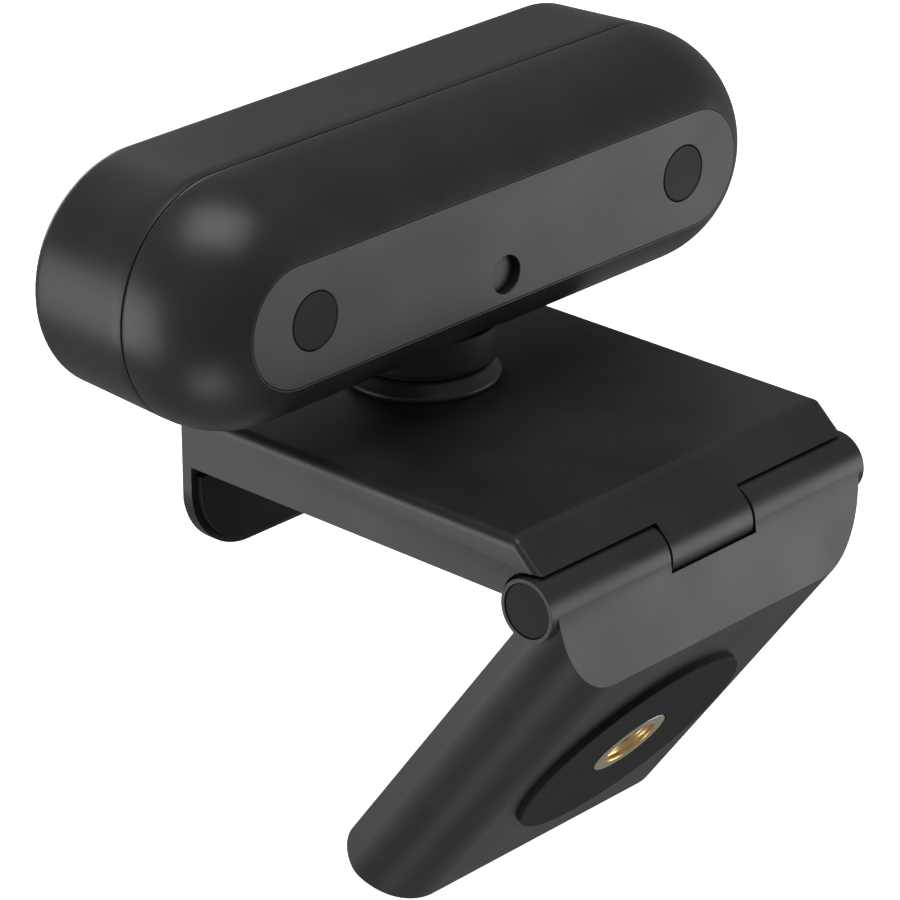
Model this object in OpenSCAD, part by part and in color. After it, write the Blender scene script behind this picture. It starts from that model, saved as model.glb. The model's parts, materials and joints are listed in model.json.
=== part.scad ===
// Webcam on a folding monitor clip, seen from its rear three-quarter side.
// Millimetres, +Z up. The lens looks along -Y and the rear panel faces +Y.
// Origin: centre of the rest pad's lower face, where the clip sits on a monitor.

/* [Head] */
// half length of the head along X
head_hx = 43.0; // [38:0.1:48]
// half height of the head at the seam
head_hz = 13.2; // [11:0.1:15]
// half height of the head where the front edge rounding starts
head_hz_front = 12.65; // [11:0.1:15]
// height of the head's centre line
head_z = 25.6; // [22:0.1:30]
// front face of the head
head_front_y = -21.3; // [-24:0.1:-18]
// seam between the front shell and the rear cover
seam_y = -6.85; // [-9:0.05:-4]
// outer face of the flat rear panel
panel_y = 4.15; // [2:0.05:6]
// half height of the flat rear panel
panel_hz = 6.5; // [5:0.1:8]
// turn of the rear cover's rounding, from the seam to the panel's rim
cover_turn = 63; // [60:1:90]
// wall thickness of the head's shells
head_wall = 1.8; // [1.2:0.1:3]
// distance of the rear caps from the middle
cap_x = 27.7; // [24:0.1:32]
// radius of the rear caps
cap_r = 3.05; // [2:0.05:4]
// height of the cable outlet's centre
outlet_z = 22.25; // [20:0.05:25]
// radius of the cable outlet
outlet_r = 2.05; // [1.5:0.05:3]

/* [Neck] */
// position of the neck's pan axis along Y
neck_y = -7.9; // [-12:0.1:-4]
// radius of the neck stem
stem_r = 8.2; // [7:0.1:9]
// height of the stem's lower edge above the platform
stem_lift = 2.6; // [1.5:0.1:4]
// height of the tilt pin
tilt_z = 15.3; // [14:0.1:17]
// widest radius of the base ring
ring_r = 8.55; // [7:0.05:10]

/* [Clip] */
// width of the platform and of the lip
clip_w = 47.2; // [40:0.1:52]
// top of the platform
top_z = 7.84; // [6:0.02:10]
// radius of the platform's long top edges
top_r = 1.2; // [0.3:0.1:2]
// lower edge of the platform's walls
rim_z = 1.5; // [1:0.1:2.5]
// underside of the bottom cover
under_z = 1.0; // [0.5:0.1:2]
// outer face of the front lip
lip_y = -19.85; // [-23:0.05:-18]
// thickness of the front lip
lip_t = 1.4; // [1:0.1:3]
// lowest edge of the front lip
lip_z = -9.4; // [-14:0.02:-5]
// radius of the lip's lower corners
lip_r = 8.0; // [2:0.1:12]
// start of the rear chamfer on the platform's top
fold_y = 26.48; // [22:0.02:30]
// lower edge of the rear chamfer, Y
cham_y = 30.0; // [28:0.02:32]
// lower edge of the rear chamfer, Z
cham_z = 4.7; // [3:0.02:6]

/* [Hinge] */
// hinge axis, Y
hinge_y = 29.0; // [26:0.1:32]
// hinge axis, Z
hinge_z = 1.1; // [0:0.1:3]
// radius of the hinge barrel
barrel_r = 3.35; // [2.8:0.05:4]
// whole length of the hinge barrel
barrel_len = 48.5; // [44:0.1:54]
// width of the platform's knuckle
knuckle_w = 12.4; // [8:0.1:18]
// radius of the hinge pin
pin_r = 1.2; // [0.8:0.05:1.6]

/* [Leg] */
// angle between the leg and the vertical
leg_ang = 36.5; // [0:0.5:60]
// width of the leg
leg_w = 46.6; // [40:0.1:52]
// distance from the hinge axis to the leg's rear face
leg_rear = 9.25; // [7:0.05:11]
// distance from the hinge axis to the leg's front face
leg_front = 0.05; // [0:0.05:1]
// length of the leg from the hinge
leg_len = 46.05; // [40:0.1:52]
// radius of the leg's long rear corners
leg_r = 6.9; // [3:0.05:9]
// lean of the flat upper facet, outward going down
facet_tilt = 7.3; // [0:0.1:15]
// rounding of the leg's free end, on its front side
end_r = 4.0; // [1:0.1:4.5]
// distance from the hinge to the tripod thread
thread_s = 25.6; // [20:0.1:32]
// radius of the round rubber foot
foot_r = 14.05; // [10:0.05:16]
// height of the rubber foot above the leg
foot_h = 0.75; // [0.3:0.05:1.5]
// inner radius of the tripod thread, quarter inch by twenty turns per inch
thread_r = 2.6; // [2.5:0.05:3.2]
// radius of the threaded insert's flange
flange_r = 4.6; // [4:0.05:6]

/* [Hidden] */
$fn = 64;
e = 0.01;
half_w = clip_w / 2;
leg_hw = leg_w / 2;
end_x = head_hx - head_hz;
cover_rf = (head_hz - panel_hz) / (1 - cos(cover_turn));
cover_ls = panel_y - seam_y - cover_rf * sin(cover_turn);
stem_z = top_z + stem_lift;
lip_in = lip_y + lip_t;
pan_floor = top_z - 2.0;
// places of the small parts inside the head
glass_r = 10.5;
mic_x = 15;
light_x = 11;
board_x = 20;
bracket_x = 12.2;
bracket_y = -12;
// places of the screws that hold the platform's and the leg's inner covers
plate_x = 17.6;
plate_y = [-14.6, 18.7];
plate_s = [-13.2, -39.4];
cover_end = leg_len - end_r;
pad_s = -34.5;

// ---------- helpers ----------

// cylinder along +Y from y0 to y1
module ycyl(x, z, r, y0, y1) {
    translate([x, y1, z])
        rotate([90, 0, 0])
            cylinder(r = r, h = y1 - y0);
}

// cylinder along +Z
module zcyl(x, y, r, z0, z1) {
    translate([x, y, z0])
        cylinder(r = r, h = z1 - z0);
}

// cylinder along +X
module xcyl(y, z, r, x0, x1) {
    translate([x0, y, z])
        rotate([0, 90, 0])
            cylinder(r = r, h = x1 - x0);
}

// box from its two corners
module block(a, b) {
    translate(a)
        cube([b[0] - a[0], b[1] - a[1], b[2] - a[2]]);
}

// head section: points are [radius, y]; the ends are half turns, the middle is straight
module pill(pts, lx) {
    q = [for (p = pts) [p[0], -p[1]]];
    translate([0, 0, head_z])
        rotate([90, 0, 0]) {
            translate([lx, 0, 0])
                rotate([0, 0, -90])
                    rotate_extrude(angle = 180)
                        polygon(q);
            translate([-lx, 0, 0])
                rotate([0, 0, 90])
                    rotate_extrude(angle = 180)
                        polygon(q);
            translate([-lx, 0, 0])
                rotate([90, 0, 90])
                    linear_extrude(height = 2 * lx) {
                        polygon(q);
                        mirror([1, 0])
                            polygon(q);
                    }
        }
}

// flat stadium plate between y0 and y1
module stadium(r, lx, y0, y1) {
    translate([0, y1, head_z])
        rotate([90, 0, 0])
            linear_extrude(height = y1 - y0) {
                square([2 * lx, 2 * r], center = true);
                translate([lx, 0])
                    circle(r = r);
                translate([-lx, 0])
                    circle(r = r);
            }
}

// rounded rectangle, centred
module rrect(w, h, r) {
    square([w - 2 * r, h], center = true);
    square([w, h - 2 * r], center = true);
    for (sx = [-1, 1])
        for (sy = [-1, 1])
            translate([sx * (w / 2 - r), sy * (h / 2 - r)])
                circle(r = r);
}

// local frame of the leg: Z' up along the leg to the hinge, Y' out of its rear face
module leg_frame() {
    translate([0, hinge_y, hinge_z])
        rotate([-leg_ang, 0, 0])
            children();
}

// opening in the head's underside for the stem, longer along Y for the tilt
module stem_opening() {
    for (s = [-1, 1])
        zcyl(0, neck_y + s * 0.45, stem_r + 0.4, head_z - head_hz - 1, head_z - head_hz + 5.2);
}

// pan-head screw, head at the top when it points down; axis +Z from tip to head
module screw(r, len, hr, hh) {
    cylinder(r = r, h = len);
    translate([0, 0, len - e])
        difference() {
            cylinder(r = hr, h = hh);
            translate([-hr * 0.55, -0.25, hh - hh * 0.45])
                cube([hr * 1.1, 0.5, hh]);
            translate([-0.25, -hr * 0.55, hh - hh * 0.45])
                cube([0.5, hr * 1.1, hh]);
        }
}

// ---------- head ----------

module front_shell() {
    r0 = head_hz - head_wall;
    f = 1.8;
    a = [for (t = [0:15:90]) [head_hz_front - f + f * cos(t), head_front_y + f - f * sin(t)]];
    color([0.16, 0.16, 0.17])
        difference() {
            union() {
                difference() {
                    pill(concat([[r0, seam_y - 0.1], [head_hz, seam_y - 0.1]], a,
                        [[glass_r + 0.1, head_front_y], [glass_r + 0.1, head_front_y + 1.25],
                        [0, head_front_y + 1.25],
                        [0, head_front_y + 2.75], [r0, head_front_y + 2.75]]), end_x);
                    // lens window
                    ycyl(0, head_z, 7.3, head_front_y, head_front_y + 4);
                }
                // screw posts for the two shell screws
                for (s = [-1, 1])
                    ycyl(s * cap_x, head_z, 3.2, head_front_y + 2, seam_y - 1.2);
                // posts for the board
                for (s = [-1, 1])
                    ycyl(s * board_x, head_z, 2.2, head_front_y + 2, -10.35);
            }
            // sound holes, holes for the shell, board and bracket screws, and the light's hole
            for (s = [-1, 1]) {
                ycyl(s * mic_x, head_z, 0.9, head_front_y, head_front_y + 4);
                ycyl(s * cap_x, head_z, 1.2, head_front_y + 4, seam_y);
                ycyl(s * board_x, head_z, 0.75, head_front_y + 4, -10);
                zcyl(s * bracket_x, bracket_y, 0.85, head_z - head_hz - 1, 14.9);
            }
            ycyl(light_x, head_z, 1.1, head_front_y, head_front_y + 4);
            stem_opening();
        }
}

module rear_cover() {
    r0 = head_hz - head_wall;
    n = 10;
    a = [for (i = [0:n]) [head_hz - cover_rf * (1 - cos(cover_turn * i / n)),
        seam_y + cover_ls + cover_rf * sin(cover_turn * i / n)]];
    color([0.16, 0.16, 0.17])
        difference() {
            union() {
                pill(concat([[r0, seam_y + 0.05], [head_hz, seam_y + 0.05]], a,
                    [[panel_hz - 0.02, panel_y - 1.35], [0, panel_y - 1.35], [0, panel_y - 2.85],
                    [panel_hz - 1.6, panel_y - 2.85], [r0 - 2.2, seam_y + 5.4], [r0, seam_y + 2.6]]),
                    end_x);
                // screw posts
                for (s = [-1, 1])
                    ycyl(s * cap_x, head_z, 4.2, seam_y - 0.7, panel_y - 2);
            }
            for (s = [-1, 1]) {
                ycyl(s * cap_x, head_z, 3.15, seam_y + 3.2, panel_y + 1);
                ycyl(s * cap_x, head_z, 1.65, seam_y - 2, panel_y);
            }
            ycyl(0, outlet_z, outlet_r - 0.25, panel_y - 4, panel_y);
            stem_opening();
        }
}

module rear_panel() {
    color([0.19, 0.19, 0.2])
        difference() {
            stadium(panel_hz - 0.04, end_x, panel_y - 1.3, panel_y);
            for (s = [-1, 1])
                ycyl(s * cap_x, head_z, cap_r + 0.06, panel_y - 2, panel_y + 1);
            ycyl(0, outlet_z, outlet_r, panel_y - 2, panel_y + 1);
        }
}

module rear_caps() {
    color([0.1, 0.1, 0.1])
        for (s = [-1, 1]) {
            ycyl(s * cap_x, head_z, cap_r, panel_y - 1.6, panel_y);
            ycyl(s * cap_x, head_z, 2.4, panel_y - 2.6, panel_y - 1.6 + e);
        }
}

module outlet_plug() {
    color([0.12, 0.12, 0.12]) {
        ycyl(0, outlet_z, outlet_r - 0.03, panel_y - 1.32, panel_y - 0.95);
        ycyl(0, outlet_z, outlet_r - 0.3, panel_y - 3.4, panel_y - 1.3);
    }
}

module front_glass() {
    color([0.03, 0.03, 0.04])
        difference() {
            stadium(glass_r, end_x, head_front_y + 0.1, head_front_y + 1.2);
            ycyl(0, head_z, 7.3, head_front_y - 1, head_front_y + 2);
            ycyl(light_x, head_z, 0.6, head_front_y - 1, head_front_y + 2);
            for (s = [-1, 1])
                ycyl(s * mic_x, head_z, 0.45, head_front_y - 1, head_front_y + 2);
        }
}

module lens_ring() {
    color([0.08, 0.08, 0.09])
        translate([0, head_front_y, head_z])
            rotate([90, 0, 0])
                rotate_extrude()
                    polygon([[5.3, -2.6], [7.2, -2.6], [7.2, 0.5], [6.7, 1.0], [6.2, 1.0], [5.3, 0.2]]);
}

// shallow dome of glass held in the ring
module lens_element() {
    r = 20;
    rim = 5.25;
    a = asin(rim / r);
    dome = [for (i = [0:6]) [r * sin(a * i / 6), r * cos(a * i / 6) - r + 0.4]];
    color([0.2, 0.25, 0.35, 0.6])
        translate([0, head_front_y, head_z])
            rotate([90, 0, 0])
                rotate_extrude()
                    polygon(concat([[0, -1.2]], dome, [[rim, -1.2]]));
}

module lens_barrel() {
    color([0.05, 0.05, 0.05])
        difference() {
            union() {
                ycyl(0, head_z, 5.1, head_front_y + 2.65, head_front_y + 4.6);
                ycyl(0, head_z, 4.0, head_front_y + 4.6 - e, head_front_y + 9.2);
            }
            ycyl(0, head_z, 3.6, head_front_y + 2, head_front_y + 3.6);
            ycyl(0, head_z, 2.2, head_front_y + 3, head_front_y + 10);
        }
}

module lens_holder() {
    color([0.07, 0.07, 0.07])
        difference() {
            union() {
                ycyl(0, head_z, 5.3, head_front_y + 4.7, head_front_y + 8);
                block([-7, head_front_y + 7.8, head_z - 7], [7, -10.35, head_z + 7]);
            }
            ycyl(0, head_z, 4.05, head_front_y + 4, head_front_y + 9.4);
            block([-5, head_front_y + 9.3, head_z - 5], [5, -10.3, head_z + 5]);
        }
}

module image_sensor() {
    color([0.2, 0.22, 0.26]) {
        block([-4, -11.2, head_z - 3.5], [4, -10.33, head_z + 3.5]);
        block([-3, -11.5, head_z - 2.2], [3, -11.19, head_z + 2.2]);
    }
}

module main_board() {
    color([0.05, 0.25, 0.12])
        difference() {
            union() {
                block([-23, -10.3, head_z - 7.2], [23, -9.1, head_z + 8.5]);
                // processor, memory and regulator on the board's rear face
                block([-16, -9.11, head_z - 3], [-7, -8.1, head_z + 6]);
                block([8, -9.11, head_z + 0.5], [15, -8.2, head_z + 6]);
                block([9, -9.11, head_z - 5.5], [13, -8.0, head_z - 2]);
            }
            for (s = [-1, 1])
                ycyl(s * board_x, head_z, 1.1, -11, -9);
        }
}

module microphones() {
    color([0.7, 0.7, 0.68])
        for (s = [-1, 1]) {
            ycyl(s * mic_x, head_z, 1.9, head_front_y + 2.8, head_front_y + 4.4);
            ycyl(s * mic_x, head_z, 0.8, head_front_y + 1.3, head_front_y + 2.81);
        }
}

module status_light() {
    color([0.8, 0.85, 0.9])
        ycyl(light_x, head_z, 1.0, head_front_y + 1.3, head_front_y + 4.5);
}

module header_connector() {
    color([0.85, 0.83, 0.75])
        difference() {
            block([-4, -9.08, head_z - 4.6], [4, -6.2, head_z - 1.4]);
            block([-3.3, -8.2, head_z - 4], [3.3, -6, head_z - 2]);
        }
}

module board_screws() {
    color([0.6, 0.6, 0.62])
        for (s = [-1, 1])
            translate([s * board_x, -14.4, head_z])
                rotate([-90, 0, 0])
                    screw(0.75, 5.35, 1.7, 1.0);
}

module shell_screws() {
    color([0.6, 0.6, 0.62])
        for (s = [-1, 1])
            translate([s * cap_x, -15.5, head_z])
                rotate([-90, 0, 0])
                    screw(1.2, seam_y + 3.25 + 15.5, 2.6, 1.8);
}

module tilt_bracket() {
    color([0.55, 0.56, 0.58])
        for (s = [-1, 1])
            difference() {
                union() {
                    block([s > 0 ? 8.35 : -9.85, -14.4, 14.32], [s > 0 ? 9.85 : -8.35, -6.0, 17.4]);
                    block([s > 0 ? 9.5 : -14.5, -14.4, 14.32], [s > 0 ? 14.5 : -9.5, -9.6, 15.3]);
                }
                xcyl(neck_y, tilt_z, 1.06, -20, 20);
                zcyl(s * bracket_x, bracket_y, 0.9, 10, 20);
            }
}

module bracket_screws() {
    color([0.6, 0.6, 0.62])
        for (s = [-1, 1])
            translate([s * bracket_x, bracket_y, 12.9])
                screw(0.85, 2.42, 1.5, 0.9);
}

// ---------- neck ----------

module neck_stem() {
    color([0.16, 0.16, 0.17])
        difference() {
            translate([0, neck_y, 0])
                rotate_extrude()
                    polygon([[0, 5.4], [5.5, 5.4], [5.5, stem_z], [stem_r - 1.0, stem_z],
                        [stem_r - 0.45, stem_z + 0.18], [stem_r - 0.15, stem_z + 0.6],
                        [stem_r, stem_z + 1.4],
                        [stem_r, 14.4], [6.6, 14.4], [6.6, 16.6], [0, 16.6]]);
            // flats that face the tilt bracket
            for (s = [-1, 1])
                block([s > 0 ? 7.45 : -9, neck_y - 9, 13.2], [s > 0 ? 9 : -7.45, neck_y + 9, 17]);
            zcyl(0, neck_y, 1.3, 5, 13.4);
            xcyl(neck_y, tilt_z, 1.0, -9, 9);
        }
}

module tilt_pin() {
    color([0.7, 0.7, 0.72])
        xcyl(neck_y, tilt_z, 1.0, -10.6, 10.6);
}

module tilt_washers() {
    color([0.75, 0.75, 0.76])
        for (s = [-1, 1])
            difference() {
                xcyl(neck_y, tilt_z, 1.9, s > 0 ? 7.48 : -8.3, s > 0 ? 8.3 : -7.48);
                xcyl(neck_y, tilt_z, 1.0, -10, 10);
            }
}

module pan_retainer() {
    color([0.6, 0.6, 0.62])
        difference() {
            zcyl(0, neck_y, 7.4, 4.5, 5.4);
            zcyl(0, neck_y, 1.45, 4, 6);
        }
}

module pan_screw() {
    color([0.6, 0.6, 0.62])
        translate([0, neck_y, 12.58])
            rotate([180, 0, 0])
                screw(1.3, 8.1, 2.8, 1.5);
}

// ---------- clip ----------

// platform, lip and rear chamfer seen from the side, extruded along X
module side_profile() {
    translate([-half_w, 0, 0])
        rotate([90, 0, 90])
            linear_extrude(height = clip_w)
                polygon([[lip_y, lip_z], [lip_in, lip_z], [lip_in, rim_z], [27, rim_z],
                    [cham_y, cham_z], [fold_y, top_z], [lip_y, top_z]]);
}

// the same clip seen from the front: rounded top edges and round lower corners on the lip
module front_profile() {
    zc = lip_z + lip_r;
    translate([0, 60, 0])
        rotate([90, 0, 0])
            linear_extrude(height = 120) {
                translate([-half_w, zc])
                    square([clip_w, top_z - top_r - zc]);
                translate([-half_w + top_r, top_z - 3])
                    square([clip_w - 2 * top_r, 3]);
                translate([-half_w + lip_r, lip_z])
                    square([clip_w - 2 * lip_r, lip_r + 1]);
                for (s = [-1, 1]) {
                    translate([s * (half_w - top_r), top_z - top_r])
                        circle(r = top_r);
                    translate([s * (half_w - lip_r), zc])
                        circle(r = lip_r);
                }
            }
}

// the lip's outline moved in by an inset, straight at the top
module lip_outline(inset, y0, y1, ztop) {
    w = clip_w - 2 * inset;
    translate([0, y1, 0])
        rotate([90, 0, 0])
            linear_extrude(height = y1 - y0)
                intersection() {
                    translate([-w / 2, lip_z + inset])
                        square([w, ztop - lip_z - inset]);
                    union() {
                        translate([-w / 2, lip_z + lip_r])
                            square([w, lip_r]);
                        translate([-half_w + lip_r, lip_z + inset])
                            square([clip_w - 2 * lip_r, lip_r]);
                        for (s = [-1, 1])
                            translate([s * (half_w - lip_r), lip_z + lip_r])
                                circle(r = lip_r - inset);
                    }
                }
}

module platform() {
    ky = knuckle_w / 2;
    color([0.16, 0.16, 0.17])
        difference() {
            union() {
                difference() {
                    intersection() {
                        side_profile();
                        front_profile();
                    }
                    xcyl(hinge_y, hinge_z, barrel_r + 0.39, -30, 30);
                    // hollow inside, closed by the cover below
                    block([-20.4, -17.4, under_z - 1], [20.4, 21.5, pan_floor]);
                }
                // knuckle and the web that joins it to the chamfer
                translate([-ky, 0, 0])
                    rotate([90, 0, 90])
                        linear_extrude(height = knuckle_w)
                            polygon([[24.5, rim_z], [fold_y - 1.5, 6.9], [fold_y + 0.2, top_z - 0.18],
                                [31.2, 3.63], [hinge_y, hinge_z]]);
                xcyl(hinge_y, hinge_z, barrel_r - 0.03, -ky, ky);
                // posts for the cover screws
                for (sx = [-1, 1])
                    for (yy = plate_y)
                        zcyl(sx * plate_x, yy, 2.3, 2.65, pan_floor + 0.5);
                // collar round the neck hole
                zcyl(0, neck_y, 9.6, pan_floor - 0.9, pan_floor + 0.5);
            }
            for (sx = [-1, 1])
                for (yy = plate_y)
                    zcyl(sx * plate_x, yy, 0.8, 2, 6.2);
            zcyl(0, neck_y, 5.56, 2, top_z + 1);
            zcyl(0, neck_y, 7.7, 2, pan_floor);
            xcyl(hinge_y, hinge_z, pin_r, -30, 30);
            // shallow pocket for the lip pad
            lip_outline(0.7, lip_in - 0.4, lip_in + 0.2, 0.4);
        }
}

module base_ring() {
    color([0.16, 0.16, 0.17])
        translate([0, neck_y, top_z])
            rotate_extrude()
                polygon([[5.56, 0], [ring_r - 0.35, 0], [ring_r - 0.1, 0.35], [ring_r, 0.5],
                    [ring_r - 0.12, 0.75], [7.6, 1.9], [7.35, 2.1], [5.56, 2.1]]);
}

module slip_washer() {
    color([0.05, 0.05, 0.05])
        translate([0, neck_y, top_z + 2.13])
            difference() {
                cylinder(r = 7.1, h = stem_lift - 2.17);
                translate([0, 0, -1])
                    cylinder(r = 5.6, h = 3);
            }
}

module wave_washer() {
    color([0.75, 0.75, 0.76])
        difference() {
            zcyl(0, neck_y, 7.2, 5.45, 5.8);
            zcyl(0, neck_y, 5.7, 5, 6);
        }
}

module under_cover() {
    color([0.13, 0.13, 0.14])
        difference() {
            block([-20.3, -17.3, under_z], [20.3, 21.4, 2.6]);
            translate([0, 0, 0.5])
                linear_extrude(height = 1.12)
                    rrect(34.2, 22.2, 3.1);
            for (sx = [-1, 1])
                for (yy = plate_y) {
                    zcyl(sx * plate_x, yy, 1.0, 0, 3);
                    zcyl(sx * plate_x, yy, 1.85, 0, 1.9);
                }
        }
}

module cover_screws() {
    color([0.6, 0.6, 0.62])
        for (sx = [-1, 1])
            for (yy = plate_y)
                translate([sx * plate_x, yy, 5.9])
                    rotate([180, 0, 0])
                        screw(0.8, 4.02, 1.7, 0.75);
}

module rest_pad() {
    color([0.06, 0.06, 0.06])
        linear_extrude(height = 1.6)
            rrect(34, 22, 3);
}

module lip_pad() {
    color([0.06, 0.06, 0.06])
        lip_outline(0.8, lip_in - 0.38, lip_in + 0.75, 0.3);
}

module hinge_pin() {
    color([0.7, 0.7, 0.72])
        xcyl(hinge_y, hinge_z, pin_r, -22.4, 22.4);
}

module hinge_washers() {
    k = knuckle_w / 2;
    color([0.7, 0.7, 0.72])
        for (s = [-1, 1])
            difference() {
                xcyl(hinge_y, hinge_z, 2.7, s > 0 ? k + 0.02 : -k - 0.3, s > 0 ? k + 0.3 : -k - 0.02);
                xcyl(hinge_y, hinge_z, pin_r, -30, 30);
            }
}

// ---------- leg ----------

// cross-section of the leg: X across, Y' out of the rear face, rounded rear corners
module leg_section(inset, y0) {
    r = leg_r - inset;
    intersection() {
        translate([-leg_hw + inset, y0])
            square([leg_w - 2 * inset, leg_rear - inset - y0]);
        union() {
            translate([-leg_hw + inset, y0 - 8])
                square([leg_w - 2 * inset, leg_rear - leg_r - y0 + 8]);
            translate([-leg_hw + leg_r, y0 - 8])
                square([leg_w - 2 * leg_r, leg_rear - inset - y0 + 8]);
            for (s = [-1, 1])
                translate([s * (leg_hw - leg_r), leg_rear - leg_r])
                    circle(r = r);
        }
    }
}

module leg_prism(inset, y0, z0, z1) {
    leg_frame()
        translate([0, 0, z0])
            linear_extrude(height = z1 - z0)
                leg_section(inset, y0);
}

// the leg seen from the side, in the hinge's own plane, extruded along X
module leg_side() {
    s = sin(leg_ang);
    c = cos(leg_ang);
    d = [-s, -c];
    n = [c, -s];
    b = barrel_r - 0.02;
    st = sin(facet_tilt);
    ct = cos(facet_tilt);
    // the facet starts on the barrel and meets the rear face
    zf = -(leg_rear * ct - b * c) / (s * ct + c * st);
    yf = (b - zf * st) / ct;
    front = leg_front + end_r;
    tip = [for (t = [0:9:90]) d * (leg_len - end_r + end_r * cos(t)) + n * (front - end_r * sin(t))];
    translate([-leg_hw, hinge_y, hinge_z])
        rotate([90, 0, 90])
            linear_extrude(height = leg_w)
                polygon(concat([d * leg_len + n * leg_rear, [yf, zf], [b * ct, b * st], [0, 0],
                    n * leg_front + d * 0.5], [for (i = [len(tip) - 1:-1:0]) tip[i]]));
}

module leg_shell() {
    k = knuckle_w / 2 + 0.35;
    color([0.16, 0.16, 0.17])
        difference() {
            union() {
                intersection() {
                    leg_side();
                    leg_prism(0, leg_front, -leg_len, 12);
                }
                for (s = [-1, 1])
                    xcyl(hinge_y, hinge_z, barrel_r, s > 0 ? k : -barrel_len / 2,
                        s > 0 ? barrel_len / 2 : -k);
            }
            // room for the platform's knuckle
            xcyl(hinge_y, hinge_z, barrel_r + 0.3, -k, k);
            xcyl(hinge_y, hinge_z, pin_r + 0.05, -23, 23);
            for (s = [-1, 1])
                xcyl(hinge_y, hinge_z, 2.93, s > 0 ? barrel_len / 2 - 0.9 : -barrel_len / 2 - 1,
                    s > 0 ? barrel_len / 2 + 1 : -barrel_len / 2 + 0.9);
            // hollow inside, open to the front
            difference() {
                leg_prism(1.9, leg_front - 1, -cover_end + 0.6, -9.5);
                leg_frame() {
                    ycyl(0, -thread_s, 6.2, 1.7, leg_rear);
                    for (sx = [-1, 1])
                        for (zz = plate_s)
                            ycyl(sx * plate_x, zz, 2.3, 1.7, leg_rear);
                }
            }
            leg_frame() {
                // seat for the front cover
                block([-21.3, leg_front - 1, -cover_end], [21.3, leg_front + 1.6, -8.9]);
                // seat for the rubber foot and for the insert
                ycyl(0, -thread_s, foot_r + 0.05, leg_rear - 0.6, leg_rear + 3);
                ycyl(0, -thread_s, 3.9, 1, leg_rear + 3);
                for (sx = [-1, 1])
                    for (zz = plate_s)
                        ycyl(sx * plate_x, zz, 0.8, 1, 5.4);
            }
        }
}

module leg_cover() {
    color([0.13, 0.13, 0.14])
        leg_frame()
            difference() {
                block([-21.2, leg_front, -cover_end + 0.1], [21.2, leg_front + 1.55, -9.0]);
                for (sx = [-1, 1])
                    for (zz = plate_s) {
                        ycyl(sx * plate_x, zz, 1.0, -1, 3);
                        ycyl(sx * plate_x, zz, 1.85, -1, leg_front + 0.9);
                    }
                translate([0, leg_front + 0.6, pad_s])
                    rotate([90, 0, 0])
                        linear_extrude(height = 2)
                            rrect(30.2, 12.2, 2.1);
            }
}

module leg_screws() {
    color([0.6, 0.6, 0.62])
        leg_frame()
            for (sx = [-1, 1])
                for (zz = plate_s)
                    translate([sx * plate_x, 5.0, zz])
                        rotate([90, 0, 0])
                            screw(0.8, 4.07, 1.7, 0.75);
}

module leg_pad() {
    color([0.06, 0.06, 0.06])
        leg_frame()
            translate([0, leg_front + 0.58, pad_s])
                rotate([90, 0, 0])
                    linear_extrude(height = 1.98)
                        rrect(30, 12, 2);
}

module foot_disc() {
    color([0.05, 0.05, 0.05])
        leg_frame()
            difference() {
                ycyl(0, -thread_s, foot_r, leg_rear - 0.58, leg_rear + foot_h);
                ycyl(0, -thread_s, flange_r + 0.12, leg_rear - 2, leg_rear + 3);
            }
}

module thread_insert() {
    color([0.85, 0.68, 0.35])
        leg_frame()
            difference() {
                union() {
                    ycyl(0, -thread_s, flange_r, leg_rear - 0.58, leg_rear + foot_h - 0.03);
                    ycyl(0, -thread_s, 3.9, 2.4, leg_rear);
                }
                ycyl(0, -thread_s, thread_r, 3.2, leg_rear + 3);
            }
}

module barrel_caps() {
    b = barrel_len / 2;
    color([0.1, 0.1, 0.1])
        for (s = [-1, 1])
            xcyl(hinge_y, hinge_z, 2.9, s > 0 ? b - 0.88 : -b + 0.12, s > 0 ? b - 0.12 : -b + 0.88);
}

front_shell();
rear_cover();
rear_panel();
rear_caps();
outlet_plug();
front_glass();
lens_ring();
lens_element();
lens_barrel();
lens_holder();
image_sensor();
main_board();
microphones();
status_light();
header_connector();
board_screws();
shell_screws();
tilt_bracket();
bracket_screws();
neck_stem();
tilt_pin();
tilt_washers();
pan_retainer();
pan_screw();
platform();
base_ring();
slip_washer();
wave_washer();
under_cover();
cover_screws();
rest_pad();
lip_pad();
hinge_pin();
hinge_washers();
leg_shell();
leg_cover();
leg_screws();
leg_pad();
foot_disc();
thread_insert();
barrel_caps();
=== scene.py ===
import json
import math

import bmesh
import bpy
from mathutils import Matrix, Vector


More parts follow.
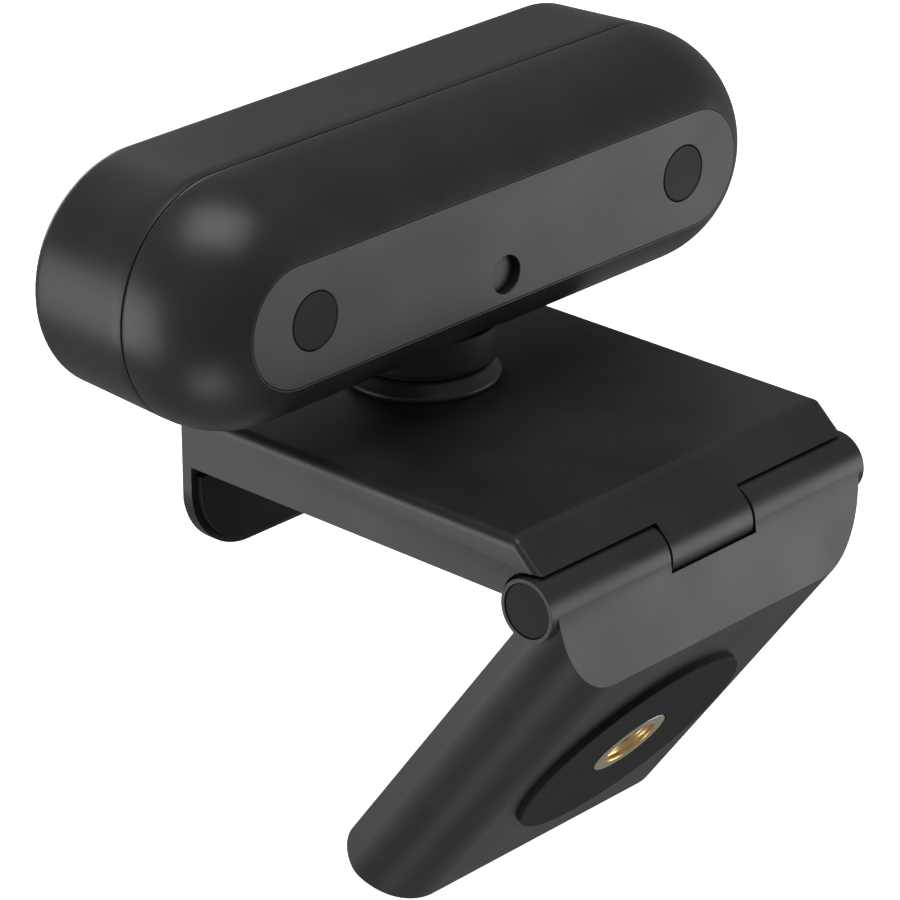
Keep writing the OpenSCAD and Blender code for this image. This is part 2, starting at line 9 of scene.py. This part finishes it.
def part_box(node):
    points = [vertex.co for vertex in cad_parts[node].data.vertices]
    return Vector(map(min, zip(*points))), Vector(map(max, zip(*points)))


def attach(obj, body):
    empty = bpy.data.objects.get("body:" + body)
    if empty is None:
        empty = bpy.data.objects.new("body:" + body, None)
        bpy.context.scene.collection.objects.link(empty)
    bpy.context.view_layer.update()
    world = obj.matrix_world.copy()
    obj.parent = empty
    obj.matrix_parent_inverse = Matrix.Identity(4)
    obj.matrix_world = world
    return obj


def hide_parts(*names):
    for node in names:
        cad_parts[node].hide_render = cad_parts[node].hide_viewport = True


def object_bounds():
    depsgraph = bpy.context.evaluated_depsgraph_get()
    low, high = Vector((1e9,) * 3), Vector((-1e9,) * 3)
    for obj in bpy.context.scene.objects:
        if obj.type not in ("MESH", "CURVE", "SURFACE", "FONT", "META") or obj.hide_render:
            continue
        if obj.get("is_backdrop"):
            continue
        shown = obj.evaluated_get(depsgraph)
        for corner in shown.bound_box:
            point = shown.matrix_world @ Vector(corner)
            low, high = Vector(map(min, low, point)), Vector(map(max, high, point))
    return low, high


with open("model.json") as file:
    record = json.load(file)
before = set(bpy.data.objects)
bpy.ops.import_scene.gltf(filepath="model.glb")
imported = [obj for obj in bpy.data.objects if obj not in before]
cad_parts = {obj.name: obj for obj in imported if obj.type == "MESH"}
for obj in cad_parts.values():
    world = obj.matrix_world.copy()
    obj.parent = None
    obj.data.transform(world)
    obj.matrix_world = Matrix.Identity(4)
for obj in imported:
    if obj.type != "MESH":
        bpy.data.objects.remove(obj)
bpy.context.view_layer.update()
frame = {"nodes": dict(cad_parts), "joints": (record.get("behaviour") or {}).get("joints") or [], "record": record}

MM = 0.001
X, Y, Z = Vector((1, 0, 0)), Vector((0, 1, 0)), Vector((0, 0, 1))
NODE = frame["nodes"]
RECORD = frame["record"]
BODY = {node: body for body, nodes in RECORD["behaviour"]["bodies"].items() for node in nodes}
SLOT = {part["node"]: part["material_slot"] for part in RECORD["subparts"]}
JOINT = {joint["name"]: joint for joint in frame["joints"]}
MOUNT = {mount["name"]: mount for mount in RECORD["mounts"]}


def box_mm(node):
    """The lower and upper corner of a CAD node's box, in mm."""
    low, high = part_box(node)
    return low / MM, high / MM


def linked(name, data):
    """A new object with this data, in the scene."""
    ob = bpy.data.objects.new(name, data)
    bpy.context.scene.collection.objects.link(ob)
    return ob


def direction(azimuth, elevation):
    """Unit vector at an azimuth from +X towards +Y and an elevation, in degrees."""
    a, e = math.radians(azimuth), math.radians(elevation)
    return Vector((math.cos(a) * math.cos(e), math.sin(a) * math.cos(e), math.sin(e)))


# ---------- camera ----------

AIM = Vector((1.8775, -2.0095, 1.3586)) * MM
CAMERA_AZIMUTH, CAMERA_ELEVATION, CAMERA_ROLL = 43.0554, 24.2974, -0.06486
CAMERA_DISTANCE = 467.487 * MM
LENS, SENSOR = 178.816, 36.0


def add_camera():
    """The camera at the photograph's viewing angle, aimed near the neck's foot."""
    data = bpy.data.cameras.new("camera")
    data.lens = LENS
    data.sensor_width = SENSOR
    data.clip_start = 0.01
    data.clip_end = 20
    camera = linked("camera", data)
    away = direction(CAMERA_AZIMUTH, CAMERA_ELEVATION)
    right = Matrix.Rotation(math.radians(CAMERA_ROLL), 3, away) @ Z.cross(away).normalized()
    turn = Matrix((right, away.cross(right), away)).transposed()
    camera.matrix_world = Matrix.Translation(AIM + away * CAMERA_DISTANCE) @ turn.to_4x4()
    bpy.context.scene.camera = camera


add_camera()


# ---------- materials ----------

def new_material(name):
    """A material with its node tree and its shader."""
    material = bpy.data.materials.new(name)
    material.use_nodes = True
    return material, material.node_tree, material.node_tree.nodes["Principled BSDF"]


def shader_node(tree, kind, values):
    """A new node with values for its input sockets, by name or number."""
    node = tree.nodes.new("ShaderNode" + kind)
    for socket, value in values.items():
        node.inputs[socket].default_value = value
    return node


def tone_ramp(tree, colour, tone, start=0.0, end=1.0):
    """A colour ramp from a little darker than the colour to a little lighter."""
    node = tree.nodes.new("ShaderNodeValToRGB")
    for stop, at, factor in zip(node.color_ramp.elements, (start, end), (1 - tone, 1 + tone)):
        stop.position = at
        stop.color = (*[min(1.0, c * factor) for c in colour], 1)
    return node


def moulded(name, colour, rough, grain=0.02, scale=5200.0, spec=0.5, uneven=0.05):
    """Moulded plastic or rubber: fine spark-eroded grain, slow change of tone, uneven gloss."""
    material, tree, shader = new_material(name)
    place = tree.nodes.new("ShaderNodeTexCoord")
    fine = shader_node(tree, "TexNoise", {"Scale": scale, "Detail": 2.0})
    slow = shader_node(tree, "TexNoise", {"Scale": 90.0, "Detail": 3.0})
    share = 0.25
    both = shader_node(tree, "Math", {1: share})
    both.operation = "MULTIPLY_ADD"
    centred = shader_node(tree, "Math", {1: share / 2})
    centred.operation = "SUBTRACT"
    ramp = tone_ramp(tree, colour, 0.12, 0.35, 0.65)
    gloss = shader_node(tree, "MapRange", {"From Min": 0.3, "From Max": 0.7,
                                           "To Min": rough - uneven, "To Max": rough + uneven})
    bump = shader_node(tree, "Bump", {"Strength": grain, "Distance": 0.1 * MM})
    link = tree.links.new
    link(place.outputs["Object"], fine.inputs["Vector"])
    link(place.outputs["Object"], slow.inputs["Vector"])
    link(fine.outputs["Fac"], both.inputs[0])
    link(slow.outputs["Fac"], both.inputs[2])
    link(both.outputs[0], centred.inputs[0])
    link(centred.outputs[0], ramp.inputs["Fac"])
    link(ramp.outputs["Color"], shader.inputs["Base Color"])
    link(slow.outputs["Fac"], gloss.inputs["Value"])
    link(gloss.outputs["Result"], shader.inputs["Roughness"])
    link(fine.outputs["Fac"], bump.inputs["Height"])
    link(bump.outputs["Normal"], shader.inputs["Normal"])
    shader.inputs["Specular IOR Level"].default_value = spec
    return material


def metal(name, colour, rough):
    """Turned or stamped metal with fine mottling in tone and gloss."""
    material, tree, shader = new_material(name)
    place = tree.nodes.new("ShaderNodeTexCoord")
    mottle = shader_node(tree, "TexNoise", {"Scale": 600.0, "Detail": 4.0})
    ramp = tone_ramp(tree, colour, 0.1)
    gloss = shader_node(tree, "MapRange", {"To Min": rough - 0.06, "To Max": rough + 0.08})
    bump = shader_node(tree, "Bump", {"Strength": 0.05, "Distance": 0.05 * MM})
    link = tree.links.new
    link(place.outputs["Object"], mottle.inputs["Vector"])
    link(mottle.outputs["Fac"], ramp.inputs["Fac"])
    link(mottle.outputs["Fac"], gloss.inputs["Value"])
    link(mottle.outputs["Fac"], bump.inputs["Height"])
    link(ramp.outputs["Color"], shader.inputs["Base Color"])
    link(gloss.outputs["Result"], shader.inputs["Roughness"])
    link(bump.outputs["Normal"], shader.inputs["Normal"])
    shader.inputs["Metallic"].default_value = 1.0
    return material


SHELL = moulded("shell_plastic", (0.018, 0.018, 0.0187), 0.37)
PANEL = moulded("panel_plastic", (0.024, 0.024, 0.025), 0.42)
DARK = moulded("dark_plastic", (0.010, 0.010, 0.0105), 0.5, spec=0.2)
RUBBER = moulded("rubber", (0.013, 0.013, 0.0135), 0.72, grain=0.06, scale=3800.0, spec=0.3)
GLOSS = moulded("gloss_black", (0.006, 0.006, 0.007), 0.09, grain=0.0, uneven=0.02, spec=0.6)
BRASS = metal("brass", (0.80, 0.56, 0.24), 0.28)
PALE_BRASS = metal("pale_brass", (0.72, 0.66, 0.52), 0.36)
LOOKS = {
    "shell_plastic": SHELL,
    "dark_plastic": DARK,
    "gloss_black": GLOSS,
    "lens_glass": moulded("lens_glass", (0.01, 0.012, 0.02), 0.05, grain=0.0, uneven=0.01, spec=0.8),
    "inner_plastic": moulded("inner_plastic", (0.02, 0.02, 0.021), 0.6),
    "chip": moulded("chip", (0.03, 0.032, 0.036), 0.4),
    "board": moulded("board", (0.012, 0.09, 0.04), 0.45),
    "steel": metal("steel", (0.56, 0.57, 0.58), 0.32),
    "light_pipe": moulded("light_pipe", (0.75, 0.8, 0.85), 0.25, grain=0.0),
    "connector_plastic": moulded("connector_plastic", (0.7, 0.67, 0.58), 0.5),
    "rubber": RUBBER,
    "brass_insert": BRASS,
}
OWN_LOOK = {"rear_panel": PANEL, "under_cover": DARK, "leg_cover": DARK}

for node_name, cad_piece in NODE.items():
    cad_piece.data.materials.clear()
    cad_piece.data.materials.append(OWN_LOOK.get(node_name, LOOKS.get(SLOT[node_name], SHELL)))


# ---------- mesh helpers ----------

def add_piece(name, mesh, node, material):
    """Puts a mesh in the scene as the better piece for a CAD node."""
    ob = linked(name, mesh)
    mesh.materials.clear()
    mesh.materials.append(material)
    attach(ob, BODY[node])
    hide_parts(node)


def baked(ob):
    """The mesh with its modifiers applied; the helper object goes."""
    bpy.context.view_layer.update()
    graph = bpy.context.evaluated_depsgraph_get()
    mesh = bpy.data.meshes.new_from_object(ob.evaluated_get(graph))
    bpy.data.objects.remove(ob)
    return mesh


def smooth(mesh, angle=32):
    """Shades a mesh smooth, except across edges that turn by more than the angle."""
    for face in mesh.polygons:
        face.use_smooth = True
    mesh.set_sharp_from_angle(angle=math.radians(angle))
    return mesh


def combined(mesh, others, operation):
    """The boolean of a mesh with each of the other meshes in turn."""
    ob = linked("helper", mesh)
    tools = [linked("helper", other) for other in others]
    for tool in tools:
        boolean = ob.modifiers.new("boolean", "BOOLEAN")
        boolean.operation = operation
        boolean.solver = "EXACT"
        boolean.object = tool
    result = baked(ob)
    for tool in tools:
        bpy.data.objects.remove(tool)
    return result


def add_bevel(ob, width, segments):
    """A modifier that rounds the edges by their weights, up to a width in mm."""
    bevel = ob.modifiers.new("edges", "BEVEL")
    bevel.width = width * MM
    bevel.segments = segments
    bevel.limit_method = "WEIGHT"
    return bevel


HARD = 20
FLAT = 0.4


def softened(node, width, material, largest=0.8, segments=4, envelope=None, rounds=()):
    """A CAD node's shape, cut to an envelope if one is given, with its hard edges rounded.

    width(midpoint in mm, angle in degrees) gives each edge's bevel in mm, up to the largest.
    rounds are the cylinders whose own normals the surface takes, as in true_normals.
    """
    mesh = NODE[node].data.copy()
    bm = bmesh.new()
    bm.from_mesh(mesh)
    bmesh.ops.remove_doubles(bm, verts=bm.verts, dist=0.002 * MM)
    bmesh.ops.dissolve_degenerate(bm, dist=0.002 * MM, edges=bm.edges)
    bmesh.ops.dissolve_limit(bm, angle_limit=math.radians(FLAT), verts=bm.verts, edges=bm.edges)
    bm.normal_update()
    weight = bm.edges.layers.float.new("bevel_weight_edge")
    for edge in bm.edges:
        turn = math.degrees(edge.calc_face_angle(0.0)) if len(edge.link_faces) == 2 else 0.0
        if turn > HARD:
            middle = (edge.verts[0].co + edge.verts[1].co) / 2 / MM
            edge[weight] = min(1.0, width(middle, turn) / largest)
    bm.to_mesh(mesh)
    bm.free()
    smooth(mesh, 60)
    if envelope is not None:
        mesh = smooth(combined(mesh, [envelope], "INTERSECT"), 30)
    ob = linked("helper", mesh)
    bevel = add_bevel(ob, largest, segments)
    bevel.use_clamp_overlap = True
    bevel.miter_outer = "MITER_ARC"
    bevel.loop_slide = True
    normals = ob.modifiers.new("normals", "WEIGHTED_NORMAL")
    normals.keep_sharp = True
    normals.weight = 60
    mesh = baked(ob)
    if rounds:
        true_normals(mesh, rounds)
    add_piece(node + "_soft", mesh, node, material)


def eased(node, radius, material, where=lambda middle: True):
    """A CAD node's shape with one small radius on its hard edges, or on those that where() picks."""
    def width(middle, turn):
        return radius if where(middle) else 0.0

    softened(node, width, material, largest=radius, segments=3)


def true_normals(mesh, rounds):
    """Gives corners on a cylinder (point on its axis, axis, radius in mm) that cylinder's normals."""
    reach = 0.02
    alike = 0.98
    normals = [Vector(normal.vector) for normal in mesh.corner_normals]
    for face in mesh.polygons:
        for corner in face.loop_indices:
            at = mesh.vertices[mesh.loops[corner].vertex_index].co / MM
            for point, axis, radius in rounds:
                out = at - point
                out -= axis * out.dot(axis)
                if abs(out.length - radius) >= reach:
                    continue
                out.normalize()
                facing = out.dot(face.normal)
                if abs(facing) > alike:
                    normals[corner] = out if facing > 0 else -out
                    break
    mesh.normals_split_custom_set(normals)


def rings_to_mesh(rings, closed=True, merge=0.0001, angle=32):
    """Joins rings of points into a skin; closed also joins the last ring to the first."""
    count, around = len(rings), len(rings[0])
    faces = []
    for i in range(count if closed else count - 1):
        j = (i + 1) % count
        for k in range(around):
            after = (k + 1) % around
            faces.append((i * around + k, i * around + after, j * around + after, j * around + k))
    mesh = bpy.data.meshes.new("rings")
    mesh.from_pydata([tuple(point) for ring in rings for point in ring], [], faces)
    bm = bmesh.new()
    bm.from_mesh(mesh)
    bmesh.ops.remove_doubles(bm, verts=bm.verts, dist=merge * MM)
    bmesh.ops.dissolve_degenerate(bm, dist=0.0001 * MM, edges=bm.edges)
    bmesh.ops.recalc_face_normals(bm, faces=bm.faces)
    bm.to_mesh(mesh)
    bm.free()
    return smooth(mesh, angle)


def arc(x, y, radius, start, end, steps):
    """Points on an arc, angles in degrees."""
    turns = [math.radians(start + (end - start) * i / steps) for i in range(steps + 1)]
    return [(x + radius * math.cos(t), y + radius * math.sin(t)) for t in turns]


def lathe(profile, centre, closed=False):
    """Turns a profile of (radius, height) about the upright line through centre, all in mm."""
    steps = 96
    turns = [math.radians(45 + 360 * k / steps) for k in range(steps)]
    rings = [[(centre + Vector((r * math.cos(t), r * math.sin(t), h))) * MM for t in turns]
             for r, h in profile]
    return rings_to_mesh(rings, closed, merge=0.001)


# ---------- head ----------

front_lo, front_hi = box_mm("front_shell")
panel_lo, panel_hi = box_mm("rear_panel")
stem_lo, stem_hi = box_mm("neck_stem")
pin_lo, pin_hi = box_mm("tilt_pin")

WALL = 1.8
SEAM_DEEP = 0.16
HEAD_R = (front_hi.z - front_lo.z) / 2
HEAD_Z = (front_hi.z + front_lo.z) / 2
HEAD_HALF = front_hi.x - HEAD_R
FRONT_Y = front_lo.y
SEAM_Y = (front_hi.y + box_mm("rear_cover")[0].y) / 2
PANEL_Y = panel_hi.y
POCKET_R = (panel_hi.z - panel_lo.z) / 2 + 0.04
NECK_Y = (pin_lo.y + pin_hi.y) / 2
STEM_R = (stem_hi.x - stem_lo.x) / 2


def stadium(radius, y):
    """Points of a stadium in the XZ plane: half turns of a radius at both ends of the head."""
    steps = 40
    turns = [-math.pi / 2 + math.pi * i / steps for i in range(steps + 1)]
    return [Vector((side * (HEAD_HALF + radius * math.cos(t)), y, HEAD_Z + side * radius * math.sin(t))) * MM
            for side in (1, -1) for t in turns]


def front_profile():
    """Seam, long side with a slight taper, rounded front edge, window seat and inner wall."""
    front_r, edge_r, window_r = 12.65, 1.8, 10.6
    edge_y = FRONT_Y + edge_r
    side_r, side_y = HEAD_R - 0.01, SEAM_Y - 0.26
    rows = 9
    profile = [(HEAD_R - WALL, SEAM_Y - 0.1), (HEAD_R - SEAM_DEEP, SEAM_Y - 0.1)]
    profile += [(HEAD_R - 0.06, SEAM_Y - 0.14)]
    for i in range(rows):
        profile.append((side_r + (front_r - HEAD_R) * i / rows, side_y + (edge_y - side_y) * i / rows))
    profile += arc(front_r - edge_r, edge_y, edge_r, 0, -90, 10)
    profile += [(window_r + 0.12, FRONT_Y), (window_r + 0.03, FRONT_Y + 0.04), (window_r, FRONT_Y + 0.12)]
    return profile + [(window_r, FRONT_Y + 2.7), (HEAD_R - WALL, FRONT_Y + 3.1)]


def cover_profile():
    """Seam, the large rounding that ends at the panel, the panel's pocket and the inner wall."""
    turn = 63.0
    round_r = (HEAD_R - POCKET_R) / (1 - math.cos(math.radians(turn)))
    rounding = arc(HEAD_R - round_r, PANEL_Y - round_r * math.sin(math.radians(turn)), round_r, 0, turn, 24)
    seat_y = PANEL_Y - 1.35
    ledge_r = POCKET_R - 0.6
    profile = [(HEAD_R - WALL, SEAM_Y + 0.05), (HEAD_R - SEAM_DEEP, SEAM_Y + 0.05)]
    profile += [(HEAD_R - 0.05, SEAM_Y + 0.09), (HEAD_R, SEAM_Y + 0.2)]
    profile += [point for point in rounding[:-1] if point[1] > SEAM_Y + 0.3]
    profile += [(POCKET_R + 0.09, PANEL_Y - 0.035), (POCKET_R + 0.02, PANEL_Y - 0.04)]
    profile += [(POCKET_R, PANEL_Y - 0.1), (POCKET_R, seat_y), (ledge_r, seat_y)]
    profile += [(ledge_r, seat_y - 1.25), (ledge_r + 3.0, seat_y - 1.65)]
    return profile + [(HEAD_R - WALL - 1.0, SEAM_Y + 5.0), (HEAD_R - WALL, SEAM_Y + 2.6)]


def neck_opening():
    """Two overlapping discs: a slot that lets the head tilt on the stem."""
    opening_r = STEM_R + 0.4
    low, high = -1, 5.2
    profile = [(0, low), (opening_r, low), (opening_r, high), (0, high)]
    return [lathe(profile, Vector((0, NECK_Y + shift, HEAD_Z - HEAD_R))) for shift in (-0.45, 0.45)]


for shell, outline in (("front_shell", front_profile()), ("rear_cover", cover_profile())):
    skin = rings_to_mesh([stadium(r, y) for r, y in outline])
    add_piece(shell + "_soft", smooth(combined(skin, neck_opening(), "DIFFERENCE")), shell, SHELL)

eased("rear_panel", 0.1, PANEL)
eased("rear_caps", 0.12, DARK, where=lambda middle: middle.y > PANEL_Y - 0.5)
eased("outlet_plug", 0.12, PANEL)
eased("front_glass", 0.15, GLOSS)


# ---------- neck ----------

washer_top = box_mm("slip_washer")[1].z
ring_lo, ring_hi = box_mm("base_ring")


def stem_profile():
    """Spigot, rounded foot, stem, and the narrower neck inside the head."""
    spigot_r, spigot_long, foot_r = 5.45, 3.0, 0.5
    stem_top, neck_r, neck_top, ease = 14.4, 6.6, 16.6, 0.1
    profile = [(0, washer_top - spigot_long), (spigot_r, washer_top - spigot_long), (spigot_r, washer_top)]
    profile += [(STEM_R - foot_r, washer_top)] + arc(STEM_R - foot_r, washer_top + foot_r, foot_r, -80, 0, 8)
    profile += [(STEM_R, stem_top - ease), (STEM_R - ease, stem_top)]
    profile += [(neck_r + ease, stem_top), (neck_r, stem_top + ease)]
    return profile + [(neck_r, neck_top - ease), (neck_r - ease, neck_top), (0, neck_top)]


def ring_profile():
    """Low cone round the stem's foot, with soft edges below and above."""
    low, high = ring_lo.z, ring_lo.z + 2.07
    outer_r, bore_r = (ring_hi.x - ring_lo.x) / 2, 5.56
    skirt = [(0.3, 0), (0.12, 0.1), (0.02, 0.3), (0, 0.5), (0.06, 0.68), (0.2, 0.86), (0.42, 1.08)]
    crown = [(7.75, 0.35), (7.6, 0.17), (7.45, 0.05), (7.3, 0)]
    profile = [(bore_r, low)] + [(outer_r - inset, low + rise) for inset, rise in skirt]
    return profile + [(r, high - drop) for r, drop in crown] + [(bore_r, high)]


neck_axis = Vector((0, NECK_Y, 0))
add_piece("neck_stem_soft", lathe(stem_profile(), neck_axis), "neck_stem", SHELL)
add_piece("base_ring_soft", lathe(ring_profile(), neck_axis, closed=True), "base_ring", SHELL)


# ---------- clip ----------

hinge_at = JOINT["leg_hinge"]["pos_m"]
HINGE = Vector((0, hinge_at[1], hinge_at[2])) / MM
platform_lo, platform_hi = box_mm("platform")
CLIP_HALF, CLIP_TOP = platform_hi.x, platform_hi.z
CHAMFER_START, CHAMFER_END = (26.48, 7.84), (30.0, 4.7)
TOP_R, KNUCKLE_R, GROOVE_R = 1.2, 3.32, 3.74


def envelope_radius(a, b, floor, fold):
    """The rounding in mm of the envelope's edge from a to b, none at its floor and its rear."""
    across = abs(a.x - b.x) > 1
    high = min(a.z, b.z) > floor + 1
    if across and high:
        return 0.75 if abs(a.y - fold) < 0.1 else (0.3 if a.y < 0 else 0.0)
    if high:
        return 0.85
    if abs(a.y - b.y) < 0.1 and a.y < 0:
        return 0.2
    return 0.0


def platform_envelope():
    """A plain block round the platform with its fold, chamfer sides and front corners rounded."""
    clear = 0.012
    floor, rear = -30.0, 36.0
    lip, top, half = platform_lo.y - clear, CLIP_TOP + clear, CLIP_HALF + clear
    slope = (CHAMFER_END[1] - CHAMFER_START[1]) / (CHAMFER_END[0] - CHAMFER_START[0])
    fold = CHAMFER_START[0] + clear * 0.35
    side = [(lip, floor), (rear, floor), (rear, top + slope * (rear - fold)), (fold, top), (lip, top)]
    count = len(side)
    points = [tuple(Vector((x, y, z)) * MM) for x in (-half, half) for y, z in side]
    faces = [tuple(range(count)), tuple(range(2 * count - 1, count - 1, -1))]
    faces += [(k, k + count, (k + 1) % count + count, (k + 1) % count) for k in range(count)]
    mesh = bpy.data.meshes.new("envelope")
    mesh.from_pydata(points, [], faces)
    bm = bmesh.new()
    bm.from_mesh(mesh)
    bmesh.ops.recalc_face_normals(bm, faces=bm.faces)
    weight = bm.edges.layers.float.new("bevel_weight_edge")
    for edge in bm.edges:
        a, b = (vert.co / MM for vert in edge.verts)
        edge[weight] = envelope_radius(a, b, floor, fold)
    bm.to_mesh(mesh)
    bm.free()
    block = linked("helper", smooth(mesh, 40))
    add_bevel(block, 1.0, 6)
    return baked(block)


clip_rounds = [(Vector((k * (CLIP_HALF - TOP_R), 0, CLIP_TOP - TOP_R)), Y, TOP_R) for k in (-1, 1)]
clip_rounds += [(HINGE, X, KNUCKLE_R), (HINGE, X, GROOVE_R)]
softened("platform", lambda middle, turn: 0.0, SHELL, envelope=platform_envelope(), rounds=clip_rounds)
eased("lip_pad", 0.12, RUBBER)
eased("rest_pad", 0.25, RUBBER)


# ---------- leg ----------

LEG_ANGLE = math.radians(36.5)
DOWN = Vector((0, -math.sin(LEG_ANGLE), -math.cos(LEG_ANGLE)))
OUT = Vector((0, math.cos(LEG_ANGLE), -math.sin(LEG_ANGLE)))
LEG_HALF, LEG_LONG, LEG_REAR = 23.3, 46.05, 9.25
SIDE_R, END_R, BARREL_R = 6.9, 4.0, 3.35
leg_lo, leg_hi = box_mm("leg_shell")
BARREL_HALF = (leg_hi.x - leg_lo.x) / 2


def leg_edge(middle, turn):
    """The bevel of one edge of the leg, by its place down the leg, out from it and across it."""
    from_hinge = middle - HINGE
    along, out = from_hinge.dot(DOWN), from_hinge.dot(OUT)
    across, radius = abs(middle.x), math.hypot(from_hinge.y, from_hinge.z)
    near_hinge = along < 14
    if across > BARREL_HALF - 0.05 and radius > 3.082:  # rim of a barrel's end
        return 0.28
    if across > BARREL_HALF - 1.2:  # seat of a barrel's cap
        return 0.1
    if radius < 4.0 and across < 7.2:  # beside the platform's knuckle
        return 0.12
    if out < 1.9 and across < LEG_HALF - 1.5:  # opening on the front side
        return 0.0
    if 1.9 < out < 7.4 and across < LEG_HALF - 1.7 and along > 8:  # inside the hollow
        return 0.0
    if turn < 42 and near_hinge:  # shallow edges of the facet
        return 0.12
    if from_hinge.y > 2.5 and near_hinge and across > 12:  # outer edges of the facet
        return 0.55
    if out > 8 and across < 15 and 8 < along < 43:  # seat of the foot disc
        return 0.04
    return 0.25


rear_axis = HINGE + OUT * (LEG_REAR - SIDE_R)
end_axis = HINGE + DOWN * (LEG_LONG - END_R) + OUT * (END_R + 0.05)
leg_rounds = [(rear_axis + X * (k * (LEG_HALF - SIDE_R)), DOWN, SIDE_R) for k in (-1, 1)]
leg_rounds += [(HINGE, X, BARREL_R), (end_axis, X, END_R)]
softened("leg_shell", leg_edge, SHELL, largest=0.55, rounds=leg_rounds)
eased("foot_disc", 0.14, RUBBER)
eased("barrel_caps", 0.12, DARK)
eased("leg_pad", 0.25, RUBBER)


def threaded_insert():
    """Turned brass insert with a real inside thread, a quarter inch across, twenty turns per inch."""
    mount = MOUNT["tripod_thread"]
    axis = Vector(mount["axis"]).normalized()
    middle = Vector(mount["pos_m"])
    half = mount["dims"]["length_mm"] / 2
    crest, pitch = mount["dims"]["r_mm"], 1.27
    root = crest + 0.5
    flange_r, body_r = 4.6, 3.9
    steps = 72

    def ring(radius, height):
        """A ring about the axis; radius(turn, height) gives each point's radius in mm."""
        points = []
        for k in range(steps):
            t = 2 * math.pi * k / steps
            side = X * math.cos(t) + axis.cross(X) * math.sin(t)
            points.append(middle + axis * (height * MM) + side * (radius(k / steps, height) * MM))
        return points

    def thread(turn, height):
        """Radius of a trapezoid thread that fades out below the flange."""
        wave = 1 - abs(2 * ((height / pitch - turn) % 1.0) - 1)
        fade = min(1.0, max(0.0, (half - 0.35 - height) / 0.5))
        return root - (root - crest) * min(1.0, wave * 1.25) * fade

    def plain(profile):
        return [ring(lambda turn, height, r=r: r, h) for r, h in profile]

    rows = 74
    rings = plain([(0.0, -half), (crest, -half)])
    rings += [ring(thread, -half + (2 * half - 0.3) * i / rows) for i in range(rows + 1)]
    rings += plain([(root + 0.02, half - 0.16), (root + 0.1, half - 0.03), (root + 0.18, half),
                    (flange_r - 0.16, half), (flange_r - 0.05, half - 0.04), (flange_r, half - 0.16),
                    (flange_r, half - 1.3), (body_r, half - 1.3), (body_r, -half - 0.8), (0.0, -half - 0.8)])
    mesh = rings_to_mesh(rings, closed=False, merge=0.001, angle=50)
    add_piece("thread_insert_cut", mesh, "thread_insert", PALE_BRASS)
    mesh.materials.append(BRASS)
    for face in mesh.polygons:
        off = face.center - middle
        if (off - axis * off.dot(axis)).length < (root + 0.15) * MM:
            face.material_index = 1


threaded_insert()


# ---------- floor, lamps and world ----------

FLOOR_GAP = 0.5 * MM
LAMP_DISTANCE = 0.9
WORLD = 0.24
LAMPS = [
    # azimuth from +X towards +Y, elevation, width, height, power
    (-30, -8, 0.75, 0.65, 4.0),
    (138, -7, 0.75, 0.55, 3.1),
    (31, 83, 0.75, 0.60, 4.4),
    (35, -54, 0.40, 0.40, 1.1),
    (-110, 5, 0.40, 0.40, 3.4),
]


def add_floor(height):
    """Plain pale floor, seen by the camera but lighting nothing."""
    mesh = bpy.data.meshes.new("floor")
    bm = bmesh.new()
    bmesh.ops.create_grid(bm, x_segments=1, y_segments=1, size=3.0)
    bm.to_mesh(mesh)
    bm.free()
    floor = linked("floor", mesh)
    floor.location = (0, 0, height)
    material, tree, shader = new_material("floor_pale")
    shader.inputs["Base Color"].default_value = (0.9, 0.9, 0.9, 1)
    shader.inputs["Roughness"].default_value = 0.9
    shader.inputs["Emission Color"].default_value = (1, 1, 1, 1)
    shader.inputs["Emission Strength"].default_value = 1.0
    mesh.materials.append(material)
    floor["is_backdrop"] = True
    floor.visible_diffuse = False
    floor.visible_glossy = False
    floor.visible_shadow = False
    floor.visible_transmission = False


def add_lamp(name, azimuth, elevation, wide, tall, power):
    """A soft box that faces the object from a direction."""
    lamp = bpy.data.lights.new(name, "AREA")
    lamp.shape = "RECTANGLE"
    lamp.size = wide
    lamp.size_y = tall
    lamp.energy = power
    ob = linked(name, lamp)
    away = direction(azimuth, elevation)
    ob.location = away * LAMP_DISTANCE
    ob.rotation_mode = "QUATERNION"
    ob.rotation_quaternion = (-away).to_track_quat("-Z", "Y")


def add_world():
    """Even white light from all round."""
    world = bpy.data.worlds.new("world")
    bpy.context.scene.world = world
    world.use_nodes = True
    background = world.node_tree.nodes["Background"]
    background.inputs["Color"].default_value = (1, 1, 1, 1)
    background.inputs["Strength"].default_value = WORLD


add_floor(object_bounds()[0].z - FLOOR_GAP)
for number, values in enumerate(LAMPS):
    add_lamp("soft_%d" % number, *values)
add_world()
bpy.context.scene.view_settings.view_transform = "Standard"
